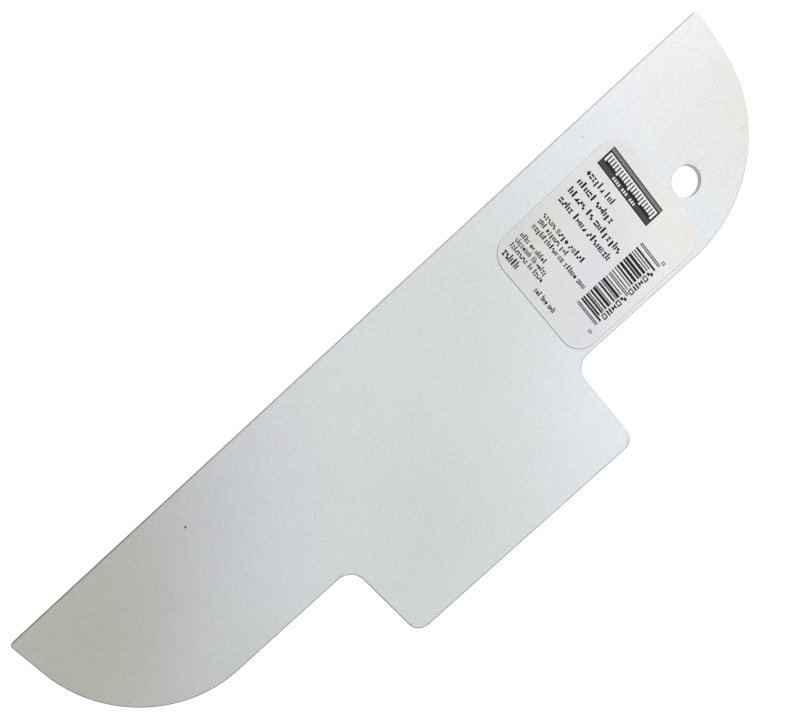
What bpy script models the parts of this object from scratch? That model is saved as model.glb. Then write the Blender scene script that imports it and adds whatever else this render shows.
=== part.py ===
"""A paint guide: one flat moulded plastic plate with one label stuck on its front face.

The plate lies on its back face. +X runs along the straight working edge, towards the end
with the hang hole. +Y runs across the blade, towards the working edge. +Z points up, out of
the labelled face. The origin is the centre of the plate's outline box, on the back face.
"""

import math

import bmesh
import bpy
from mathutils import Vector

MM = 0.001
INCH = 25.4 * MM

# Blade: a long strip with a straight working edge and two quarter-round ends.
EDGE_LENGTH = 10 * INCH
BLADE_WIDTH = 2 * INCH
END_RADIUS = 1.5 * INCH
TIP_RADIUS = 1.0 * MM

# Handle tab: a rectangle in the middle of the side away from the working edge.
TAB_WIDTH = 86.5 * MM
TAB_REACH = 29.7 * MM
TAB_CORNER_RADIUS = 4.25 * MM
TAB_ROOT_RADIUS = 5.25 * MM

# Sheet
PLATE_THICKNESS = 2.0 * MM
RIM_ROUNDING = 0.25 * MM
RIM_SEGMENTS = 2
RIM_ANGLE = math.radians(60)

# Hang hole, a plain round hole through the blade near one end.
HOLE_DIAMETER = 8.5 * MM
HOLE_FROM_MIDDLE = 98.75 * MM
HOLE_FROM_EDGE = 32.6 * MM
HOLE_SEGMENTS = 64

# Label: paper face stock, lying on a film of adhesive.
LABEL_LENGTH = 48.0 * MM
LABEL_WIDTH = 40.0 * MM
LABEL_CORNER_RADIUS = 6.5 * MM
LABEL_FROM_MIDDLE = 69.0 * MM
LABEL_FROM_EDGE = 29.3 * MM
LABEL_TURN = math.radians(0.6)
LABEL_THICKNESS = 0.10 * MM
ADHESIVE_FILM = 0.05 * MM

# Arcs are drawn with chords that stay this close to the true curve.
CHORD_ERROR = 0.01 * MM

TOTAL_WIDTH = BLADE_WIDTH + TAB_REACH
WORKING_EDGE_Y = TOTAL_WIDTH / 2


def clear_scene():
    for obj in list(bpy.data.objects):
        bpy.data.objects.remove(obj, do_unlink=True)


def plastic_or_paper(name, colour, roughness):
    """A material that is one plain Principled BSDF."""
    material = bpy.data.materials.new(name)
    material.use_nodes = True
    shader = material.node_tree.nodes["Principled BSDF"]
    shader.inputs["Base Color"].default_value = (*colour, 1)
    shader.inputs["Roughness"].default_value = roughness
    shader.inputs["Metallic"].default_value = 0
    return material


def corner_arc(before, corner, after, radius):
    """Points of the arc that rounds one corner of a polygon and is tangent to its two sides."""
    to_before = (before - corner).normalized()
    to_after = (after - corner).normalized()
    half_angle = to_before.angle(to_after) / 2
    centre = corner + (to_before + to_after).normalized() * radius / math.sin(half_angle)
    start = corner + to_before * radius / math.tan(half_angle) - centre
    end = corner + to_after * radius / math.tan(half_angle) - centre
    turn = start.angle(end)
    steps = max(3, math.ceil(turn / (2 * math.acos(1 - CHORD_ERROR / radius))))
    if start.x * end.y < start.y * end.x:
        turn = -turn
    angle = math.atan2(start.y, start.x)
    return [
        centre + radius * Vector((math.cos(angle + turn * i / steps), math.sin(angle + turn * i / steps)))
        for i in range(steps + 1)
    ]


def rounded_outline(corners):
    """Outline of a polygon given as (x, y, radius) corners, counterclockwise, with each one rounded."""
    places = [Vector((x, y)) for x, y, _ in corners]
    count = len(corners)
    points = []
    for i, (_, _, radius) in enumerate(corners):
        points += corner_arc(places[i - 1], places[i], places[(i + 1) % count], radius)
    return points


def sheet(name, outline, thickness, material):
    """A flat sheet of this outline, with its underside on the object's own XY plane."""
    shape = bmesh.new()
    underside = shape.faces.new([shape.verts.new((p.x, p.y, 0)) for p in outline])
    raised = bmesh.ops.extrude_face_region(shape, geom=[underside])["geom"]
    top = [v for v in raised if isinstance(v, bmesh.types.BMVert)]
    bmesh.ops.translate(shape, verts=top, vec=(0, 0, thickness))
    bmesh.ops.recalc_face_normals(shape, faces=shape.faces)
    mesh = bpy.data.meshes.new(name)
    shape.to_mesh(mesh)
    shape.free()
    mesh.materials.append(material)
    obj = bpy.data.objects.new(name, mesh)
    bpy.context.scene.collection.objects.link(obj)
    return obj


def plate_outline():
    end = EDGE_LENGTH / 2
    tab = TAB_WIDTH / 2
    blade_low = WORKING_EDGE_Y - BLADE_WIDTH
    tab_low = WORKING_EDGE_Y - TOTAL_WIDTH
    right_half = [
        (tab, tab_low, TAB_CORNER_RADIUS),
        (tab, blade_low, TAB_ROOT_RADIUS),
        (end, blade_low, END_RADIUS),
        (end, WORKING_EDGE_Y, TIP_RADIUS),
    ]
    left_half = [(-x, y, radius) for x, y, radius in reversed(right_half)]
    return rounded_outline(right_half + left_half)


def label_outline():
    x, y = LABEL_LENGTH / 2, LABEL_WIDTH / 2
    signs = ((1, -1), (1, 1), (-1, 1), (-1, -1))
    return rounded_outline([(sx * x, sy * y, LABEL_CORNER_RADIUS) for sx, sy in signs])


def hole_cutter():
    """An upright cylinder that is longer than the plate is thick."""
    shape = bmesh.new()
    bmesh.ops.create_cone(
        shape,
        cap_ends=True,
        segments=HOLE_SEGMENTS,
        radius1=HOLE_DIAMETER / 2,
        radius2=HOLE_DIAMETER / 2,
        depth=3 * PLATE_THICKNESS,
    )
    mesh = bpy.data.meshes.new("hole_cutter")
    shape.to_mesh(mesh)
    shape.free()
    obj = bpy.data.objects.new("hole_cutter", mesh)
    obj.location = (HOLE_FROM_MIDDLE, WORKING_EDGE_Y - HOLE_FROM_EDGE, PLATE_THICKNESS / 2)
    obj.hide_render = True
    obj.display_type = "WIRE"
    bpy.context.scene.collection.objects.link(obj)
    return obj


def make_guide_plate():
    plastic = plastic_or_paper("white_plastic", (0.80, 0.81, 0.80), 0.45)
    plate = sheet("guide_plate", plate_outline(), PLATE_THICKNESS, plastic)

    hole = plate.modifiers.new("hang_hole", "BOOLEAN")
    hole.operation = "DIFFERENCE"
    hole.solver = "EXACT"
    hole.object = hole_cutter()

    rim = plate.modifiers.new("rim_rounding", "BEVEL")
    rim.width = RIM_ROUNDING
    rim.segments = RIM_SEGMENTS
    rim.limit_method = "ANGLE"
    rim.angle_limit = RIM_ANGLE

    plate.data.shade_smooth()
    plate.data.set_sharp_from_angle(angle=math.radians(30))
    return plate


def make_label(plate):
    paper = plastic_or_paper("label_paper", (0.84, 0.83, 0.82), 0.6)
    label = sheet("label", label_outline(), LABEL_THICKNESS, paper)
    label.parent = plate
    label.location = (
        LABEL_FROM_MIDDLE,
        WORKING_EDGE_Y - LABEL_FROM_EDGE,
        PLATE_THICKNESS + ADHESIVE_FILM,
    )
    label.rotation_euler.z = LABEL_TURN
    return label


clear_scene()
make_label(make_guide_plate())
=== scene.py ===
"""Looks of the paint guide: a fine white plastic plate, its printed paper label, light, floor and camera.

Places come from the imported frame: +X runs along the working edge towards the hang hole, +Y points from
the handle tab to the working edge, and +Z out of the labelled face. Lengths are metres, written with MM.
"""

import math
import random

import bmesh
import bpy
from mathutils import Matrix, Vector
from mathutils.geometry import delaunay_2d_cdt


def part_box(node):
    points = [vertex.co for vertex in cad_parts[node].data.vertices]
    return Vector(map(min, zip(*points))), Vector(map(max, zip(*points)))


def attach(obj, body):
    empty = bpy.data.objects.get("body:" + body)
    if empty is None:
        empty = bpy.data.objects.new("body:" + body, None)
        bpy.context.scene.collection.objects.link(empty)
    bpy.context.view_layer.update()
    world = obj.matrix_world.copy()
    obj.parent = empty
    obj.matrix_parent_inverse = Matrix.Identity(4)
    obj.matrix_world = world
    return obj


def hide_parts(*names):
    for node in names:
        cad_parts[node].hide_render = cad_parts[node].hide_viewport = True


MM = 0.001
INCH = 25.4 * MM

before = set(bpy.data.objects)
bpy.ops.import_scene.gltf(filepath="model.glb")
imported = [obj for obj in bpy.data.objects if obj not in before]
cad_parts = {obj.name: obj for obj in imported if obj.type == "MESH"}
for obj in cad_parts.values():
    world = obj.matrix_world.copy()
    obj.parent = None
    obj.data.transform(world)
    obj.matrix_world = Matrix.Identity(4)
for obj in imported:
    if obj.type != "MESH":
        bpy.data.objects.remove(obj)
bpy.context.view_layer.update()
plate_low, plate_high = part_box("guide_plate")
label_low, label_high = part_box("label")

# Plate, as in the CAD model.
PLATE_TOP = plate_high.z
WORKING_EDGE = plate_high.y
BLADE_WIDTH = 2 * INCH
END_RADIUS = 1.5 * INCH
TIP_RADIUS = 1.0 * MM
TAB_WIDTH = 86.5 * MM
TAB_CORNER_RADIUS = 4.25 * MM
TAB_ROOT_RADIUS = 5.25 * MM
HOLE_RADIUS = 4.25 * MM
HOLE_PLACE = Vector((98.75 * MM, WORKING_EDGE - 32.6 * MM))

# The plate's fine surface: soft rims round the outline, crisper ones at the hole.
RIM_ROUNDING = 0.40 * MM
HOLE_ROUNDING = 0.18 * MM
RIM_STEPS = 6
HOLE_STEPS = 128
PLATE_GRID = 4.0 * MM

# Label, as in the CAD model, except that it lies closer to the plate.
LABEL_LENGTH = 48.0 * MM
LABEL_WIDTH = 40.0 * MM
LABEL_CORNER_RADIUS = 6.5 * MM
LABEL_TURN = math.radians(0.6)
LABEL_PLACE = (label_low.xy + label_high.xy) / 2
LABEL_THICKNESS = 0.10 * MM
LABEL_FILM = 0.005 * MM

# The label's fine surface.
LABEL_ROUNDING = 0.02 * MM
LABEL_RIM_STEPS = 2
LABEL_GRID = 1.5 * MM

# Round its face run a painted shadow, a dark line where the paper is cut, and a painted highlight, a bright
# band inside that. The shifts make both wider on the sides away from the hang hole and from the working
# edge.
CUT_EDGE_SHADOW_WIDTH = 0.14 * MM
CUT_EDGE_SHADOW_SHIFT = Vector((0.09 * MM, 0.03 * MM))
PAINTED_HIGHLIGHT_BAND_WIDTH = 0.50 * MM
PAINTED_HIGHLIGHT_BAND_SHIFT = Vector((0.12 * MM, 0.10 * MM))

# The label lies a little uneven: its rim stands off the plate, and it waves.
EDGE_LIFT = 0.020 * MM
EDGE_LIFT_REACH = 1.2 * MM
WAVE_HEIGHT = 0.004 * MM

# One long side is drawn in at one place, and a short crease runs in from there.
PINCH_DEPTH = 0.10 * MM
PINCH_PLACE = -1.4 * MM
CREASE_LENGTH = 5.0 * MM
CREASE_WIDTH = 0.7 * MM
CREASE_HEIGHT = 0.012 * MM

# Outlines: how far a chord may leave its arc, how far apart the points of a straight run are, and how near
# each other two points count as one.
ARC_ERROR = 0.002 * MM
POINT_SPACING = 3.0 * MM
SAME_PLACE = 0.0001 * MM

# What delaunay_2d_cdt is asked for: triangles inside the outlines only.
INSIDE_OUTLINES = 1


# ---------------------------------------------------------------- outlines


def rounded_outline(corners, spacing=POINT_SPACING):
    """Points and outward normals along a polygon given as (x, y, radius) corners, counterclockwise."""
    places = [Vector((x, y)) for x, y, _ in corners]
    count = len(corners)
    arcs = []
    for i, (_, _, radius) in enumerate(corners):
        to_before = (places[i - 1] - places[i]).normalized()
        to_after = (places[(i + 1) % count] - places[i]).normalized()
        half = to_before.angle(to_after) / 2
        centre = places[i] + (to_before + to_after).normalized() * radius / math.sin(half)
        start = (places[i] + to_before * radius / math.tan(half) - centre).normalized()
        end = (places[i] + to_after * radius / math.tan(half) - centre).normalized()
        turn = start.angle(end)
        outward = 1 if start.x * end.y > start.y * end.x else -1
        steps = math.ceil(turn / (2 * math.acos(1 - ARC_ERROR / radius)))
        first = math.atan2(start.y, start.x)
        arc = []
        for step in range(steps + 1):
            angle = first + outward * turn * step / steps
            ray = Vector((math.cos(angle), math.sin(angle)))
            arc.append((centre + radius * ray, outward * ray))
        arcs.append(arc)
    outline = []
    for i, arc in enumerate(arcs):
        outline += arc
        start, normal = arc[-1]
        run = arcs[(i + 1) % count][0][0] - start
        pieces = max(1, round(run.length / spacing))
        outline += [(start + run * k / pieces, normal) for k in range(1, pieces)]
    return outline


def hole_outline(centre, radius, steps):
    """Points of a round hole, clockwise, with normals that point out of the material."""
    outline = []
    for step in range(steps):
        angle = -math.tau * step / steps
        ray = Vector((math.cos(angle), math.sin(angle)))
        outline.append((centre + radius * ray, -ray))
    return outline


def rim_profile(thickness, rounding, steps):
    """(inset, height) down the edge of a sheet, from its upper face round both rims to its lower face."""
    quarter = [math.pi / 2 * k / steps for k in range(steps + 1)]
    upper = [(rounding * (1 - math.sin(a)), thickness - rounding * (1 - math.cos(a))) for a in quarter]
    lower = [(inset, thickness - height) for inset, height in reversed(upper)]
    return upper + lower


def is_inside(place, polygon):
    inside = False
    for i, b in enumerate(polygon):
        a = polygon[i - 1]
        if (a.y > place.y) != (b.y > place.y):
            if place.x < a.x + (b.x - a.x) * (place.y - a.y) / (b.y - a.y):
                inside = not inside
    return inside


def grid_inside(outline, spacing):
    """Places of a staggered grid inside an outline, each at least half a spacing from its points."""
    points = [p for p, _ in outline]
    low = Vector((min(p.x for p in points), min(p.y for p in points)))
    high = Vector((max(p.x for p in points), max(p.y for p in points)))
    row_step = spacing * math.sqrt(3) / 2
    found = []
    for row in range(int((high.y - low.y) / row_step)):
        for column in range(int((high.x - low.x) / spacing)):
            place = low + Vector(((column + 0.5 + row % 2 / 2) * spacing, (row + 0.5) * row_step))
            nearest = min((p - place).length_squared for p in points)
            if nearest > (spacing / 2) ** 2 and is_inside(place, points):
                found.append(place)
    return found


# ---------------------------------------------------------------- meshes


def edge_strip(shape, outline, profile):
    """Quads round the edge of a sheet. Returns its uppermost and its lowest loop of vertices."""
    loops = []
    for inset, height in profile:
        loops.append([shape.verts.new((*(p - normal * inset), height)) for p, normal in outline])
    for upper, lower in zip(loops, loops[1:]):
        for i in range(len(outline)):
            shape.faces.new((upper[i - 1], lower[i - 1], lower[i], upper[i]))
    return loops[0], loops[-1]


def fill(shape, rim, holes=(), marks=(), loose=()):
    """Triangles across a flat region. Each mark is (polygon, material index), and covers earlier marks."""
    places = [v.co.xy for v in rim]
    known = list(rim)
    faces = [list(range(len(rim)))]
    for loop in holes:
        faces.append(list(reversed(range(len(places), len(places) + len(loop)))))
        places += [v.co.xy for v in loop]
        known += loop
    for polygon, _ in marks:
        faces.append(list(range(len(places), len(places) + len(polygon))))
        places += polygon
    places += loose
    result = delaunay_2d_cdt(places, [], faces, INSIDE_OUTLINES, SAME_PLACE)
    points, _, triangles, origins, _, covers = result
    height = rim[0].co.z
    corners = []
    for point, origin in zip(points, origins):
        old = [known[i] for i in origin if i < len(known)]
        corners.append(old[0] if old else shape.verts.new((point.x, point.y, height)))
    for triangle, cover in zip(triangles, covers):
        if any(1 <= i <= len(holes) for i in cover):
            continue
        face = shape.faces.new([corners[i] for i in triangle])
        last = max(cover) - 1 - len(holes)
        face.material_index = marks[last][1] if last >= 0 else 0
    bare = [v for v in shape.verts if not v.link_faces]
    bmesh.ops.delete(shape, geom=bare, context="VERTS")


def add_piece(name, shape, materials, node):
    """Adds the piece that stands for a CAD node, smooth, with flat faces that stay flat at their rims."""
    bmesh.ops.recalc_face_normals(shape, faces=shape.faces)
    mesh = bpy.data.meshes.new(name)
    shape.to_mesh(mesh)
    shape.free()
    mesh.shade_smooth()
    for material in materials:
        mesh.materials.append(material)
    piece = bpy.data.objects.new(name, mesh)
    bpy.context.scene.collection.objects.link(piece)
    piece.modifiers.new("flat_faces_lead", "WEIGHTED_NORMAL")
    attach(piece, "root")
    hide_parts(node)


def plate_outline():
    end = (plate_high.x - plate_low.x) / 2
    tab = TAB_WIDTH / 2
    blade_low = WORKING_EDGE - BLADE_WIDTH
    right_half = [
        (tab, plate_low.y, TAB_CORNER_RADIUS),
        (tab, blade_low, TAB_ROOT_RADIUS),
        (end, blade_low, END_RADIUS),
        (end, WORKING_EDGE, TIP_RADIUS),
    ]
    left_half = [(-x, y, radius) for x, y, radius in reversed(right_half)]
    return rounded_outline(right_half + left_half)


def make_plate(material):
    shape = bmesh.new()
    outline = plate_outline()
    hole = hole_outline(HOLE_PLACE, HOLE_RADIUS, HOLE_STEPS)
    top, bottom = edge_strip(shape, outline, rim_profile(PLATE_TOP, RIM_ROUNDING, RIM_STEPS))
    hole_top, hole_bottom = edge_strip(shape, hole, rim_profile(PLATE_TOP, HOLE_ROUNDING, RIM_STEPS))
    clear = HOLE_RADIUS + PLATE_GRID / 2
    loose = [p for p in grid_inside(outline, PLATE_GRID) if (p - HOLE_PLACE).length > clear]
    fill(shape, top, [hole_top], loose=loose)
    fill(shape, bottom, [hole_bottom], loose=loose)
    add_piece("plate_moulding", shape, [material], "guide_plate")


# ---------------------------------------------------------------- label print

# Places on the label are read with the banner at the top: across, to the right, and up, both from the
# middle of the label and in millimetres.
PAPER, BLACK, GREY, CHARCOAL, CUT_EDGE_SHADOW, PAINTED_HIGHLIGHT_BAND = range(6)


def on_label(across, up):
    return Vector((up * MM, -across * MM))


def box(left, low, right, high):
    return (left, low), (right, low), (right, high), (left, high)


def block(left, right, low, high, ink):
    return [on_label(across, up) for across, up in box(left, low, right, high)], ink


def banner():
    """A dark field with two grey lines along its top, and a charcoal strip along its foot."""
    left, right, low, high = -17.2, 5.15, 13.6, 19.9
    margin = 0.15
    lines_low, gap_low, gap_high, lines_high = 18.75, 19.1, 19.25, 19.55
    strip_low, strip_high = 13.95, 15.2
    return [
        block(left, right, low, high, BLACK),
        block(left + margin, right - margin, lines_low, lines_high, GREY),
        block(left + margin, right - margin, gap_low, gap_high, CHARCOAL),
        block(left + margin, right - margin, strip_low, strip_high, CHARCOAL),
    ]


def ruler():
    """A plain white ruler across the banner. Every fifth mark is longer."""
    left, right, top, spine = -16.6, 4.55, 18.3, 0.4
    divisions, mark_width, short_mark, long_mark = 20, 0.66, 2.2, 2.7
    step = (right - left - mark_width) / divisions
    marks = [block(left, right, top - spine, top, PAPER)]
    for i in range(divisions + 1):
        start = left + i * step
        depth = long_mark if i % 5 == 0 else short_mark
        marks.append(block(start, start + mark_width, top - depth, top, PAPER))
    return marks


def strip_blocks():
    """Three groups of small white blocks on the banner's strip."""
    pitch, width, low, high = 0.82, 0.48, 14.1, 14.95
    marks = []
    for group, count in ((-11.2, 4), (-7.2, 3), (-3.7, 3)):
        for i in range(count):
            start = group + i * pitch
            marks.append(block(start, start + width, low, high, PAPER))
    return marks


# Stand-in marks, each a few plain shapes in a cell one unit wide and one high. None is a letter or digit.
TWO_POSTS = (box(0, 0, 0.42, 1), box(0.66, 0, 1.04, 1))
TWO_BANDS = (box(0, 0, 1, 0.38), box(0, 0.66, 1, 1.04))
THREE_BANDS = tuple(box(0, y, 1, y + 0.24) for y in (0, 0.4, 0.8))
TWO_STEPS = (box(0, 0, 0.58, 0.52), box(0.42, 0.5, 1, 1.04))
STEPS_DOWN = (box(0, 0.5, 0.58, 1.04), box(0.42, 0, 1, 0.52))
DIAMOND = (((0.5, -0.1), (1.08, 0.5), (0.5, 1.1), (-0.08, 0.5)),)
RAMP = (((0, 0), (1, 0), (1, 1.1)),)
HOURGLASS = (((0, 0), (1, 0), (0.5, 0.6)), ((0, 1.04), (0.5, 0.44), (1, 1.04)))
BOW = (((0, 0), (0.58, 0.52), (0, 1.04)), ((1, 0), (1, 1.04), (0.42, 0.52)))
TALL_AND_LOW = (box(0, 0, 0.40, 1.5), box(0.62, 0, 1, 1.04))
TALL_POST = (box(0.18, 0, 0.70, 1.5),)
LOW_POST = (box(0.18, -0.42, 0.68, 1),)
HOLLOW_BOX = (box(0, 0, 1, 0.24), box(0, 0.76, 1, 1), box(0, 0, 0.22, 1), box(0.78, 0, 1, 1))

LINE_MARKS = (TWO_POSTS, TWO_BANDS, TWO_STEPS, STEPS_DOWN, DIAMOND, HOURGLASS, BOW, RAMP, THREE_BANDS)
LINE_MARKS += (LOW_POST,) + 3 * (TALL_POST,) + 2 * (TALL_AND_LOW,)
BAR_MARKS = (HOLLOW_BOX, TWO_BANDS, HOURGLASS, HOLLOW_BOX, TWO_STEPS)

# The label's lines: left, right, low, height of a low mark, how full a mark's cell is, and the marks in
# each word.
FULL, OPEN = 0.88, 0.84
PRINTED_LINES = (
    (-17.2, -5.6, 9.5, 1.35, OPEN, (6, 3)),
    (-17.2, -2.0, 6.1, 1.35, FULL, (5, 5)),
    (-17.2, 5.6, 2.75, 1.35, FULL, (5, 2, 8)),
    (-17.2, 5.0, -0.7, 1.35, FULL, (4, 4, 7)),
    (-16.9, -11.8, -6.6, 1.05, FULL, (5,)),
    (-11.2, 0.5, -6.6, 1.20, FULL, (4, 5)),
    (-16.7, -4.1, -8.6, 1.05, FULL, (3, 6, 3)),
    (-16.8, 6.2, -10.7, 1.05, FULL, (10, 2, 5, 3)),
    (-17.2, -6.7, -14.6, 1.05, FULL, (4, 2, 5)),
    (-17.2, -4.1, -16.6, 1.05, FULL, (8, 2, 5)),
    (-17.2, -3.5, -18.5, 1.05, FULL, (9, 2, 5)),
    (-17.2, -11.0, -21.5, 1.50, FULL, (5,)),
    (-3.3, 5.2, -21.4, 1.15, FULL, (3, 3, 3)),
)
WORD_GAP = 0.55
LEAST_WIDTH, MOST_WIDTH = 0.92, 1.08


def stand_in(shapes, left, low, width, height):
    marks = []
    for shape in shapes:
        marks.append(([on_label(left + x * width, low + y * height) for x, y in shape], BLACK))
    return marks


def greeked_line(rng, left, right, low, height, fullness, words):
    """A line of stand-in marks, with this many in each word, and never the same one twice running."""
    marks = []
    gap = height * WORD_GAP
    unit = (right - left - gap * (len(words) - 1)) / sum(words)
    across = left
    last = None
    for count in words:
        for _ in range(count):
            width = unit * fullness * rng.uniform(LEAST_WIDTH, MOST_WIDTH)
            last = rng.choice([shapes for shapes in LINE_MARKS if shapes is not last])
            marks += stand_in(last, across, low, width, height)
            across += unit
        across += gap
    return marks


def stand_in_lines(rng):
    marks = []
    for line in PRINTED_LINES:
        marks += greeked_line(rng, *line)
    return marks


def made_up_bars(rng):
    """Bars of chance widths, in two halves between plain guards. The outermost bars are longer."""
    low, high, modules = -14.2, 10.1, 95
    left, short_end, long_end = 7.7, 14.9, 16.4
    guards, halves = (0, 2, 46, 48, 92, 94), ((6, 45), (51, 90))
    first_short, last_short = 9, 85
    ink_spread = 0.08
    module = (high - low) / modules
    marks = []
    for start in guards:
        up = low + start * module
        marks.append(block(left, long_end, up, up + module + ink_spread / 2, BLACK))
    for first, last in halves:
        at = first
        while at < last:
            width = min(rng.choice((1, 1, 1, 2, 2, 3)), last - at)
            end = short_end if first_short <= at <= last_short else long_end
            up = low + at * module
            marks.append(block(left, end, up, up + width * module + ink_spread, BLACK))
            at += width + rng.choice((1, 1, 2, 2, 3))
    return marks


def marks_beside_bars():
    """Two groups of marks along the bars' short ends, and a lone box beyond each end of the block."""
    left, pitch, width, height = 15.3, 1.76, 1.8, 1.3
    marks = []
    for group in (-11.3, -1.3):
        for i, shapes in enumerate(BAR_MARKS):
            marks += stand_in(shapes, left, group + i * pitch, width, height)
    lone_left, lone_width, lone_height = 16.0, 1.15, 0.85
    for up in (-16.9, 10.7):
        marks += stand_in(HOLLOW_BOX, lone_left, up, lone_width, lone_height)
    return marks


# ---------------------------------------------------------------- label


def edge_distance(place):
    """How far a place, measured from the label's middle, is inside the label's rounded edge."""
    dx = abs(place.x) - LABEL_LENGTH / 2 + LABEL_CORNER_RADIUS
    dy = abs(place.y) - LABEL_WIDTH / 2 + LABEL_CORNER_RADIUS
    outside = math.hypot(max(dx, 0), max(dy, 0))
    return LABEL_CORNER_RADIUS - outside - min(max(dx, dy), 0)


def pinch(place):
    """How far the side towards the working edge is drawn in at this place."""
    along = 1 - abs(place.x - PINCH_PLACE) / (LABEL_LENGTH / 4)
    across = place.y / (LABEL_WIDTH / 2)
    return PINCH_DEPTH * max(along, 0) * max(across, 0) ** 3


def waves(x, y):
    """Slow waves from 0 to 2, about 14 mm long one way and 17 mm the other. x and y are millimetres."""
    wander = 0.8 * math.sin(0.23 * y)
    return math.sin(0.45 * x + wander) * math.sin(0.37 * y + 1.1) + 1


def label_lift(place):
    """How high the paper stands off the plate's face at this place."""
    edge = EDGE_LIFT * math.exp(-max(edge_distance(place), 0) / EDGE_LIFT_REACH)
    inward = LABEL_WIDTH / 2 - place.y
    crease = math.exp(-(((place.x - PINCH_PLACE) / CREASE_WIDTH) ** 2) - (inward / CREASE_LENGTH) ** 2)
    return edge + WAVE_HEIGHT * waves(*(place / MM)) + CREASE_HEIGHT * crease


def label_outline():
    x, y = LABEL_LENGTH / 2, LABEL_WIDTH / 2
    signs = ((1, -1), (1, 1), (-1, 1), (-1, -1))
    corners = [(sx * x, sy * y, LABEL_CORNER_RADIUS) for sx, sy in signs]
    return rounded_outline(corners, LABEL_GRID / 2)


def label_print(outline):
    """Everything on the label's upper face, from its rim inwards and from the first layer to the last."""
    rim = [p - normal * LABEL_ROUNDING for p, normal in outline]
    band = [p - normal * CUT_EDGE_SHADOW_WIDTH + CUT_EDGE_SHADOW_SHIFT for p, normal in outline]
    face = [p - normal * PAINTED_HIGHLIGHT_BAND_WIDTH + PAINTED_HIGHLIGHT_BAND_SHIFT for p, normal in outline]
    # The ring at the cut edge is painted shadow, and the band inside it a painted highlight.
    marks = [(rim, CUT_EDGE_SHADOW), (band, PAINTED_HIGHLIGHT_BAND), (face, PAPER)]
    marks += banner() + ruler() + strip_blocks()
    marks += stand_in_lines(random.Random(23))
    return marks + made_up_bars(random.Random(10)) + marks_beside_bars()


def make_label(materials):
    shape = bmesh.new()
    outline = label_outline()
    profile = rim_profile(LABEL_THICKNESS, LABEL_ROUNDING, LABEL_RIM_STEPS)
    top, bottom = edge_strip(shape, outline, profile)
    loose = grid_inside(outline, LABEL_GRID)
    fill(shape, top, marks=label_print(outline), loose=loose)
    fill(shape, bottom, loose=loose)
    for vertex in shape.verts:
        flat = vertex.co.xy
        vertex.co.z += label_lift(flat)
        vertex.co.y -= pinch(flat)
    turn = Matrix.Rotation(LABEL_TURN, 4, "Z")
    shape.transform(Matrix.Translation((*LABEL_PLACE, PLATE_TOP + LABEL_FILM)) @ turn)
    add_piece("printed_label", shape, materials, "label")


# ---------------------------------------------------------------- materials


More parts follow.
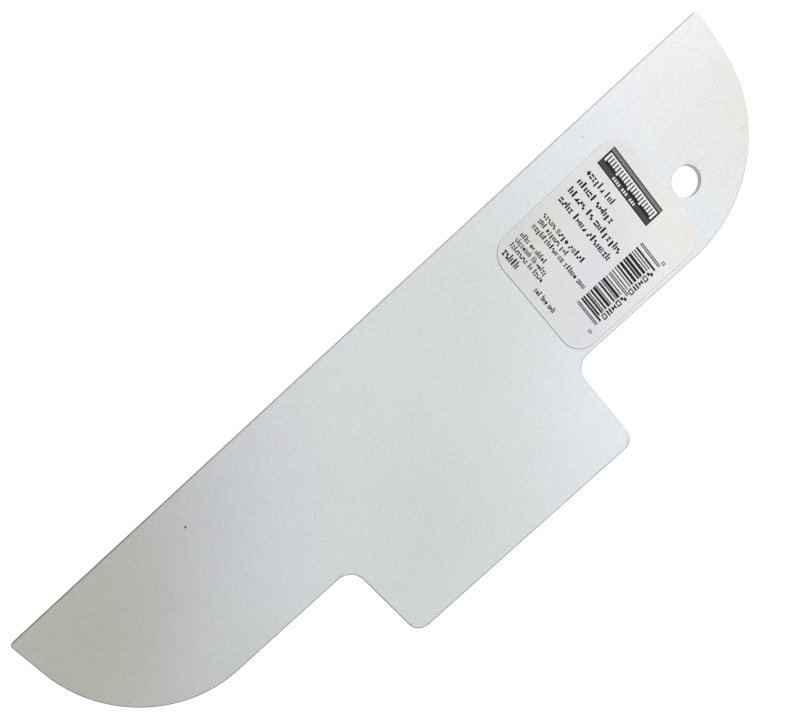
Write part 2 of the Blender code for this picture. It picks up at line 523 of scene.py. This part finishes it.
class Surface:
    """A Principled material, with short calls for the nodes that feed it. Nodes read millimetres."""

    def __init__(self, name):
        self.material = bpy.data.materials.new(name)
        self.material.use_nodes = True
        self.nodes = self.material.node_tree.nodes
        self.links = self.material.node_tree.links
        self.shader = self.nodes["Principled BSDF"]
        place = self.nodes.new("ShaderNodeTexCoord").outputs["Object"]
        self.place = self.vector("SCALE", place, scale=1 / MM)

    def give(self, node, name, value):
        if isinstance(value, bpy.types.NodeSocket):
            self.links.new(value, node.inputs[name])
        else:
            node.inputs[name].default_value = value

    def vector(self, operation, a, b=None, scale=None):
        node = self.nodes.new("ShaderNodeVectorMath")
        node.operation = operation
        self.give(node, 0, a)
        if b is not None:
            self.give(node, 1, b)
        if scale is not None:
            self.give(node, "Scale", scale)
        return node.outputs["Value" if operation in ("DISTANCE", "DOT_PRODUCT") else "Vector"]

    def number(self, operation, a, b=0.0):
        node = self.nodes.new("ShaderNodeMath")
        node.operation = operation
        self.give(node, 0, a)
        self.give(node, 1, b)
        return node.outputs[0]

    def product(self, *factors):
        result = factors[0]
        for factor in factors[1:]:
            result = self.number("MULTIPLY", result, factor)
        return result

    def mix(self, factor, a, b):
        return self.number("ADD", a, self.product(factor, self.number("SUBTRACT", b, a)))

    def noise(self, size, detail=2.0, roughness=0.5, stretch=(1, 1, 1), turn=0.0):
        """Noise from 0 to 1 whose features are about this many millimetres across."""
        mapping = self.nodes.new("ShaderNodeMapping")
        self.give(mapping, "Vector", self.place)
        self.give(mapping, "Rotation", (0, 0, turn))
        self.give(mapping, "Scale", tuple(1 / (size * k) for k in stretch))
        node = self.nodes.new("ShaderNodeTexNoise")
        self.give(node, "Vector", mapping.outputs[0])
        self.give(node, "Scale", 1.0)
        self.give(node, "Detail", detail)
        self.give(node, "Roughness", roughness)
        return node.outputs[0]

    def fit(self, value, low, high, to_low, to_high):
        """Maps low..high to to_low..to_high, smoothly, and holds it there outside."""
        node = self.nodes.new("ShaderNodeMapRange")
        node.interpolation_type = "SMOOTHSTEP"
        for name, number in zip(("From Min", "From Max", "To Min", "To Max"), (low, high, to_low, to_high)):
            self.give(node, name, number)
        self.give(node, "Value", value)
        return node.outputs[0]

    def blend(self, factor, a, b, mode="MIX"):
        node = self.nodes.new("ShaderNodeMix")
        node.data_type = "RGBA"
        node.blend_type = mode
        self.give(node, 0, factor)
        self.give(node, 6, a)
        self.give(node, 7, b)
        return node.outputs[2]

    def grey(self, value):
        node = self.nodes.new("ShaderNodeCombineColor")
        for name in ("Red", "Green", "Blue"):
            self.give(node, name, value)
        return node.outputs[0]

    def along(self, axis):
        """The place along X, Y or Z."""
        split = self.nodes.new("ShaderNodeSeparateXYZ")
        self.give(split, 0, self.place)
        return split.outputs[axis]

    def from_place(self, place):
        return self.vector("DISTANCE", self.place, place)

    def tint(self, colour, place, radius, change):
        """Multiplies the colour by change at a place, fading out to nothing at the radius."""
        strength = self.fit(self.from_place(place), 0.0, radius, 1.0, 0.0)
        return self.blend(strength, colour, (*change, 1), "MULTIPLY")

    def facing(self, direction):
        """How much the surface faces this way: 1 straight at it, and -1 straight away."""
        normal = self.nodes.new("ShaderNodeNewGeometry").outputs["Normal"]
        return self.vector("DOT_PRODUCT", normal, direction)

    def tilt(self):
        """0 where the surface faces straight up or down, and 1 on an upright wall."""
        return self.number("SUBTRACT", 1.0, self.number("ABSOLUTE", self.facing((0, 0, 1))))

    def bump(self, height, distance, strength):
        node = self.nodes.new("ShaderNodeBump")
        self.give(node, "Height", height)
        self.give(node, "Distance", distance)
        self.give(node, "Strength", strength)
        self.give(self.shader, "Normal", node.outputs[0])

    def finish(self, colour, roughness):
        self.give(self.shader, "Base Color", colour)
        self.give(self.shader, "Roughness", roughness)
        return self.material


def on_face(x, y):
    """A place on the plate's face, in millimetres."""
    return x, y, PLATE_TOP / MM


PLASTIC_WHITE = (0.865, 0.875, 0.895, 1)

# Soft clouds in the plastic's white, partly tint and partly painted light and shade: place and radius in
# millimetres, and the share of each colour kept.
# A program fitted the white above, and every row but the last, to the photo's colours.
TINT_AND_SHADE_CLOUDS = (
    ((-50, 10), 50, (1.08, 1.08, 1.08)),
    ((-90, 50), 50, (0.91, 0.90, 0.80)),
    ((-10, -10), 50, (0.94, 0.97, 0.92)),
    ((30, 20), 35, (0.96, 0.97, 0.92)),
    ((-120, 20), 35, (0.94, 0.94, 0.83)),
    ((130, 10), 50, (0.93, 0.90, 0.83)),
    ((-60, 30), 50, (0.89, 0.90, 0.95)),
    ((50, 30), 70, (0.91, 0.93, 0.92)),
    ((-100, 20), 35, (0.94, 0.93, 0.93)),
    ((-10, -20), 70, (0.95, 0.92, 0.91)),
    ((48, -30), 25, (1.04, 1.03, 1.04)),
)

# Dark inclusions in the plastic's face: place and radius in millimetres, and the share of light kept.
SPECKS = (
    ((-67.9, 31.2), 0.32, 0.05),
    ((83.4, 36.2), 0.24, 0.58),
    ((119.5, 8.0), 0.21, 0.72),
    ((17.0, 27.3), 0.24, 0.66),
)


def rim_painted_shade(s):
    """Painted shade on the rims and walls beside the plate's face: their brightness, where the face is 1.

    They brighten from the plain end to past the middle. Rims that look away from the working edge or
    towards the plain end are darker, most of all at the plain end and at the end of the tab, but the
    hole's rim is even all round. The working edge's rim stays light until it has turned well down.
    """
    x, y = s.along("X"), s.along("Y")
    dim_end, bright_from = -110.0, 40.0
    dark_side, edge_side = (-0.6, -0.8, 0), (0, 1, 0)
    tab_end = plate_low.y / MM
    hole_rim = HOLE_RADIUS / MM

    # The darkening below is painted shade, where less light falls on the rims and on the hole's wall.
    at_plain_end = s.fit(x, -116.0, -80.0, 0.50, 0.80)
    at_tab_end = s.fit(y, tab_end + 0.75, tab_end + 2.75, 0.50, 1.0)
    low_side = s.fit(s.facing(dark_side), 0.0, 0.05, 1.0, s.product(at_plain_end, at_tab_end))
    by_hole = s.fit(s.from_place(on_face(*(HOLE_PLACE / MM))), hole_rim + 0.75, hole_rim + 1.25, 1.0, 0.0)
    rim = s.product(s.fit(x, dim_end, bright_from, 0.42, 0.85), s.mix(by_hole, low_side, 0.72))
    wall = s.fit(x, dim_end, bright_from, 0.50, 0.85)

    tilt = s.tilt()
    edge = s.mix(s.fit(tilt, 0.5, 1.0, 0.0, 1.0), rim, wall)
    fully_turned = s.fit(s.facing(edge_side), 0.0, 0.2, 0.006, 0.25)
    return s.mix(s.fit(tilt, 0.0, fully_turned, 0.0, 1.0), 1.0, edge)


def hairlines(s):
    """1 along fine scratches that all run one way, and 0 between them."""
    lines = s.noise(1.1, stretch=(60, 1, 1), turn=0.35)
    from_middle = s.number("ABSOLUTE", s.number("SUBTRACT", lines, 0.5))
    return s.fit(from_middle, 0.0, 0.006, 1.0, 0.0)


def white_plastic():
    """Satin white sheet: fine matte grain, faint cool and warm clouds partly of painted light and shade,
    hairlines, specks, and rims greyer with painted shade.
    """
    s = Surface("white_plastic")
    colour = PLASTIC_WHITE
    # Clouds of tint and of painted light and shade.
    for place, radius, change in TINT_AND_SHADE_CLOUDS:
        colour = s.tint(colour, on_face(*place), radius, change)
    grain = s.noise(0.52, detail=1.0)
    mottle = s.fit(s.noise(5, detail=3.0), 0.3, 0.7, 0.985, 1.0)
    tone = s.product(mottle, s.fit(grain, 0.2, 0.8, 0.90, 1.02), rim_painted_shade(s))
    for place, radius, kept in SPECKS:
        away = s.from_place(on_face(*place))
        tone = s.product(tone, s.fit(away, radius * 0.6, radius * 1.4, kept, 1.0))
    colour = s.blend(1.0, colour, s.grey(tone), "MULTIPLY")
    height = s.number("SUBTRACT", grain, s.product(hairlines(s), 0.4))
    s.bump(height, distance=0.012 * MM, strength=0.5)
    return s.finish(colour, roughness=s.fit(s.noise(9), 0.3, 0.7, 0.46, 0.52))


PAPER_TINT = (1.01, 0.98, 0.98)

# Clouds in the paper's white, partly tint and partly painted light and shade as in the plastic's, but
# placed across and up from the label's middle.
# A program fitted the last six rows to the photo's colours.
PAPER_TINT_AND_SHADE_CLOUDS = (
    ((12, 15), 22, (1.07, 1.06, 1.00)),
    ((3, -6), 16, (1.00, 0.98, 1.03)),
    ((-16, -8), 16, (0.97, 0.98, 0.96)),
    ((14, -18), 12, (1.00, 0.98, 1.03)),
    ((-16, -20), 40, (0.96, 0.96, 0.92)),
    ((24, 8), 40, (1.06, 1.05, 1.06)),
    ((4, 8), 14, (0.97, 0.96, 0.99)),
    ((-8, -8), 14, (1.04, 1.04, 1.04)),
    ((-24, -16), 14, (0.93, 0.95, 0.99)),
    ((0, 28), 20, (1.04, 1.04, 1.01)),
)


def label_paper(name, shade):
    """Coated white paper: fibre mottle, a faint sheen, clouds, and painted shade where the paper turns down
    at its rim.
    """
    s = Surface(name)
    colour = tuple(shade * c for c in PAPER_TINT) + (1,)
    # Clouds of tint and of painted light and shade.
    for place, radius, change in PAPER_TINT_AND_SHADE_CLOUDS:
        colour = s.tint(colour, on_face(*((LABEL_PLACE + on_label(*place)) / MM)), radius, change)
    fibre = s.noise(0.6, roughness=0.6, stretch=(1.6, 1, 1), turn=0.5)
    # Paper that turns down at the rim is made greyer: painted shade.
    tone = s.product(s.fit(fibre, 0.25, 0.75, 0.95, 1.0), s.fit(s.tilt(), 0.02, 0.6, 1.0, 0.5))
    colour = s.blend(1.0, colour, s.grey(tone), "MULTIPLY")
    s.bump(fibre, distance=0.010 * MM, strength=0.4)
    return s.finish(colour, roughness=s.fit(s.noise(3), 0.3, 0.7, 0.50, 0.58))


def ink(name, shade):
    """Matte printing ink that is a little thin where the paper's fibres show."""
    s = Surface(name)
    patch = s.noise(0.35, detail=3.0, roughness=0.6)
    darker = tuple(c * 0.85 for c in shade) + (1,)
    lighter = tuple(c * 1.25 + 0.006 for c in shade) + (1,)
    s.shader.inputs["Specular IOR Level"].default_value = 0.2
    s.bump(patch, distance=0.006 * MM, strength=0.3)
    return s.finish(s.blend(s.fit(patch, 0.35, 0.75, 0, 1), darker, lighter), roughness=0.6)


# ---------------------------------------------------------------- studio

FLOOR_HALF = 4.0
FLOOR_GAP = 0.02 * MM
FLOOR_GREY = 0.30
FLOOR_GLOW = 0.90
DOME_AT_HORIZON, DOME_OVERHEAD = 0.0375, 0.1

# Soft lights, which all face the middle of the plate: place, side, power and colour. A program fitted
# their powers and colours to the photo's shading, from places that were listed.
LIGHTS = {
    "key_light": ((0.30, 0.10, 0.30), 0.25, 1.27, (1.0, 0.96, 0.98)),
    "cool_fill": ((0.02, -0.12, 0.25), 0.20, 0.35, (0.66, 0.90, 1.0)),
    "warm_fill": ((-0.10, 0.0, 0.30), 0.25, 0.12, (1.0, 0.58, 0.16)),
}

# Camera: close above the working edge. The picture's upward direction runs at a slant across the plate,
# so the plate lies on a diagonal. A program fitted these numbers to the object's outline in the photo.
LENS = 36.99
SENSOR_WIDTH = 36.0
SHIFT_Y = 0.1121
CAMERA_PLACE = Vector((2.58 * MM, WORKING_EDGE + 26.66 * MM, PLATE_TOP + 222.32 * MM))
CAMERA_AIM = Vector((-10.06 * MM, WORKING_EDGE - 33.69 * MM, PLATE_TOP))
PICTURE_SLANT = math.radians(48.19)


def make_floor():
    """A plain pale floor that glows, to stay near white far from the lights. No gloss reflects it."""
    mesh = bpy.data.meshes.new("floor")
    corners = [(x * FLOOR_HALF, y * FLOOR_HALF, 0) for x, y in ((-1, -1), (1, -1), (1, 1), (-1, 1))]
    mesh.from_pydata(corners, [], [(0, 1, 2, 3)])
    floor = bpy.data.objects.new("floor", mesh)
    bpy.context.scene.collection.objects.link(floor)
    floor.location.z = plate_low.z - FLOOR_GAP
    paint = bpy.data.materials.new("pale_floor")
    paint.use_nodes = True
    shader = paint.node_tree.nodes["Principled BSDF"]
    shader.inputs["Base Color"].default_value = (FLOOR_GREY, FLOOR_GREY, FLOOR_GREY, 1)
    shader.inputs["Roughness"].default_value = 0.9
    shader.inputs["Specular IOR Level"].default_value = 0.1
    shader.inputs["Emission Color"].default_value = (1, 1, 1, 1)
    shader.inputs["Emission Strength"].default_value = FLOOR_GLOW
    mesh.materials.append(paint)
    floor.visible_glossy = False


def soft_light(name, place, size, power, colour):
    light = bpy.data.lights.new(name, "AREA")
    light.shape = "SQUARE"
    light.size = size
    light.energy = power
    light.color = colour
    holder = bpy.data.objects.new(name, light)
    holder.location = place
    holder.rotation_euler = (-Vector(place)).to_track_quat("-Z", "Y").to_euler()
    holder.visible_camera = False
    bpy.context.scene.collection.objects.link(holder)


def make_world():
    """A dim dome, brighter overhead. The camera sees it as plain white."""
    world = bpy.data.worlds.new("studio")
    bpy.context.scene.world = world
    world.use_nodes = True
    nodes, links = world.node_tree.nodes, world.node_tree.links
    dome = nodes["Background"]
    direction = nodes.new("ShaderNodeTexCoord").outputs["Generated"]
    split = nodes.new("ShaderNodeSeparateXYZ")
    links.new(direction, split.inputs[0])
    ramp = nodes.new("ShaderNodeMapRange")
    ramp.inputs["To Min"].default_value = DOME_AT_HORIZON
    ramp.inputs["To Max"].default_value = DOME_OVERHEAD
    links.new(split.outputs["Z"], ramp.inputs["Value"])
    links.new(ramp.outputs[0], dome.inputs["Strength"])
    dome.inputs["Color"].default_value = (1, 1, 1, 1)
    seen = nodes.new("ShaderNodeBackground")
    seen.inputs["Color"].default_value = (1, 1, 1, 1)
    choose = nodes.new("ShaderNodeMixShader")
    links.new(nodes.new("ShaderNodeLightPath").outputs["Is Camera Ray"], choose.inputs[0])
    links.new(dome.outputs[0], choose.inputs[1])
    links.new(seen.outputs[0], choose.inputs[2])
    links.new(choose.outputs[0], nodes["World Output"].inputs["Surface"])


def make_camera():
    data = bpy.data.cameras.new("camera")
    data.lens = LENS
    data.sensor_width = SENSOR_WIDTH
    data.shift_y = SHIFT_Y
    data.clip_start = 0.01
    data.clip_end = 50
    camera = bpy.data.objects.new("camera", data)
    bpy.context.scene.collection.objects.link(camera)
    upwards = Vector((math.cos(PICTURE_SLANT), math.sin(PICTURE_SLANT), 0))
    back = (CAMERA_PLACE - CAMERA_AIM).normalized()
    right = upwards.cross(back).normalized()
    turn = Matrix((right, back.cross(right), back)).transposed().to_4x4()
    camera.matrix_world = Matrix.Translation(CAMERA_PLACE) @ turn
    bpy.context.scene.camera = camera


make_camera()
make_plate(white_plastic())
make_label(
    [
        label_paper("label_paper_white", 0.79),
        ink("black_ink", (0.010, 0.010, 0.010)),
        ink("grey_ink", (0.28, 0.265, 0.245)),
        ink("charcoal_ink", (0.070, 0.058, 0.053)),
        # A darker copy of the paper: painted shadow along the cut edge.
        label_paper("label_cut_edge", 0.46),
        # A lighter copy of the paper: a painted highlight band inside the cut edge.
        label_paper("label_bright_band", 0.845),
    ]
)
make_floor()
make_world()
for light_name, settings in LIGHTS.items():
    soft_light(light_name, *settings)
bpy.context.scene.view_settings.view_transform = "Standard"
